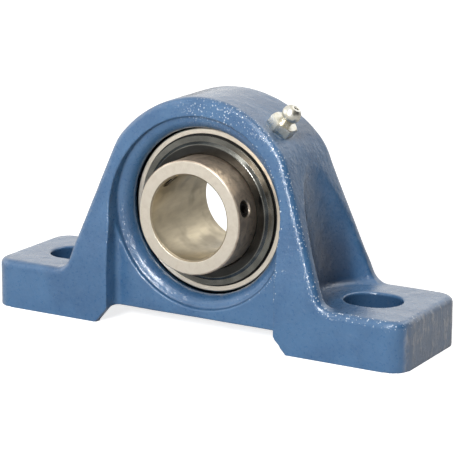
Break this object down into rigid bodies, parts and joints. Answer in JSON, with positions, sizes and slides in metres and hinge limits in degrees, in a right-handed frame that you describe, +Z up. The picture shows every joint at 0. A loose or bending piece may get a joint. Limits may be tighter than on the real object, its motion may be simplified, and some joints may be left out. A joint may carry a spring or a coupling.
{
  "type": "pillow block bearing",
  "caption": "Cast pillow block on two slotted feet, holding a self-aligning ball bearing insert with set screws, seals, slingers and a grease nipple.",
  "frame": {"origin": "on the mounting plane, midway between the two bolt slots, straight below the shaft line", "axes": "+X along the base towards the grease nipple's side, +Y along the shaft towards the back, +Z up; the set screws are at the front, on the -Y side"},
  "size_m": [0.165, 0.045, 0.0835],
  "materials": {
    "blue_paint": "glossy paint on a rough casting",
    "ring_steel": "ground",
    "ball_steel": "polished",
    "cage_steel": "pressed sheet",
    "seal_case_steel": "pressed sheet",
    "seal_rubber": "matt",
    "slinger_steel": "dark, semi-gloss sheet",
    "screw_steel": "black oxide",
    "zinc_plate": "yellow zinc plate",
    "spring_steel": "drawn wire"
  },
  "bodies": {
    "housing": {"housing": "blue_paint", "grease_nipple_body": "zinc_plate", "nipple_spring": "spring_steel"},
    "insert": {"outer_ring": "ring_steel", "front_seal_case": "seal_case_steel", "front_seal_lip": "seal_rubber", "back_seal_case": "seal_case_steel", "back_seal_lip": "seal_rubber"},
    "inner_ring": {"inner_ring": "ring_steel", "front_slinger": "slinger_steel", "back_slinger": "slinger_steel"},
    "cage": {"cage_front_half": "cage_steel", "cage_back_half": "cage_steel", "cage_rivets": "cage_steel"},
    "nipple_check_ball": {"nipple_check_ball": "ball_steel"},
    "set_screw_1": {"set_screw_1": "screw_steel"},
    "set_screw_2": {"set_screw_2": "screw_steel"},
    "ball_1": {"ball_1": "ball_steel"},
    "ball_2": {"ball_2": "ball_steel"},
    "ball_3": {"ball_3": "ball_steel"},
    "ball_4": {"ball_4": "ball_steel"},
    "ball_5": {"ball_5": "ball_steel"},
    "ball_6": {"ball_6": "ball_steel"},
    "ball_7": {"ball_7": "ball_steel"},
    "ball_8": {"ball_8": "ball_steel"},
    "ball_9": {"ball_9": "ball_steel"}
  },
  "joints": [
    {"name": "insert_self_align", "type": "hinge", "parent": "housing", "child": "insert", "pos_m": [0, 0, 0.0429], "axis": [1, 0, 0], "range_deg": [-3, 3]},
    {"name": "shaft_spin", "type": "hinge", "parent": "insert", "child": "inner_ring", "pos_m": [0, 0, 0.0429], "axis": [0, 1, 0], "continuous": true},
    {"name": "cage_spin", "type": "hinge", "parent": "insert", "child": "cage", "pos_m": [0, 0, 0.0429], "axis": [0, 1, 0], "continuous": true},
    {"name": "ball_1_spin", "type": "hinge", "parent": "cage", "child": "ball_1", "pos_m": [0, 0, 0.0659], "axis": [0, 1, 0], "continuous": true},
    {"name": "ball_2_spin", "type": "hinge", "parent": "cage", "child": "ball_2", "pos_m": [-0.01478, 0, 0.06052], "axis": [0, 1, 0], "continuous": true},
    {"name": "ball_3_spin", "type": "hinge", "parent": "cage", "child": "ball_3", "pos_m": [-0.02265, 0, 0.04689], "axis": [0, 1, 0], "continuous": true},
    {"name": "ball_4_spin", "type": "hinge", "parent": "cage", "child": "ball_4", "pos_m": [-0.01992, 0, 0.0314], "axis": [0, 1, 0], "continuous": true},
    {"name": "ball_5_spin", "type": "hinge", "parent": "cage", "child": "ball_5", "pos_m": [-0.00787, 0, 0.02129], "axis": [0, 1, 0], "continuous": true},
    {"name": "ball_6_spin", "type": "hinge", "parent": "cage", "child": "ball_6", "pos_m": [0.00787, 0, 0.02129], "axis": [0, 1, 0], "continuous": true},
    {"name": "ball_7_spin", "type": "hinge", "parent": "cage", "child": "ball_7", "pos_m": [0.01992, 0, 0.0314], "axis": [0, 1, 0], "continuous": true},
    {"name": "ball_8_spin", "type": "hinge", "parent": "cage", "child": "ball_8", "pos_m": [0.02265, 0, 0.04689], "axis": [0, 1, 0], "continuous": true},
    {"name": "ball_9_spin", "type": "hinge", "parent": "cage", "child": "ball_9", "pos_m": [0.01478, 0, 0.06052], "axis": [0, 1, 0], "continuous": true},
    {"name": "set_screw_1_feed", "type": "slide", "parent": "inner_ring", "child": "set_screw_1", "axis": [-0.9724, 0, -0.2334], "range_m": [0, 0.0005]},
    {"name": "set_screw_2_feed", "type": "slide", "parent": "inner_ring", "child": "set_screw_2", "axis": [0.6884, 0, -0.7254], "range_m": [0, 0.0005]},
    {"name": "check_ball_push", "type": "slide", "parent": "housing", "child": "nipple_check_ball", "axis": [-0.6374, 0, -0.7705], "range_m": [0, 0.0007], "stiffness_N_per_m": 200, "springref_m": -0.002, "deforming": ["nipple_spring"]}
  ],
  "couplings": [
    {"joint": "cage_spin", "follows": "shaft_spin", "ratio": 0.39647},
    {"joint": "ball_1_spin", "follows": "shaft_spin", "ratio": -2.3086},
    {"joint": "ball_2_spin", "follows": "shaft_spin", "ratio": -2.3086},
    {"joint": "ball_3_spin", "follows": "shaft_spin", "ratio": -2.3086},
    {"joint": "ball_4_spin", "follows": "shaft_spin", "ratio": -2.3086},
    {"joint": "ball_5_spin", "follows": "shaft_spin", "ratio": -2.3086},
    {"joint": "ball_6_spin", "follows": "shaft_spin", "ratio": -2.3086},
    {"joint": "ball_7_spin", "follows": "shaft_spin", "ratio": -2.3086},
    {"joint": "ball_8_spin", "follows": "shaft_spin", "ratio": -2.3086},
    {"joint": "ball_9_spin", "follows": "shaft_spin", "ratio": -2.3086}
  ]
}
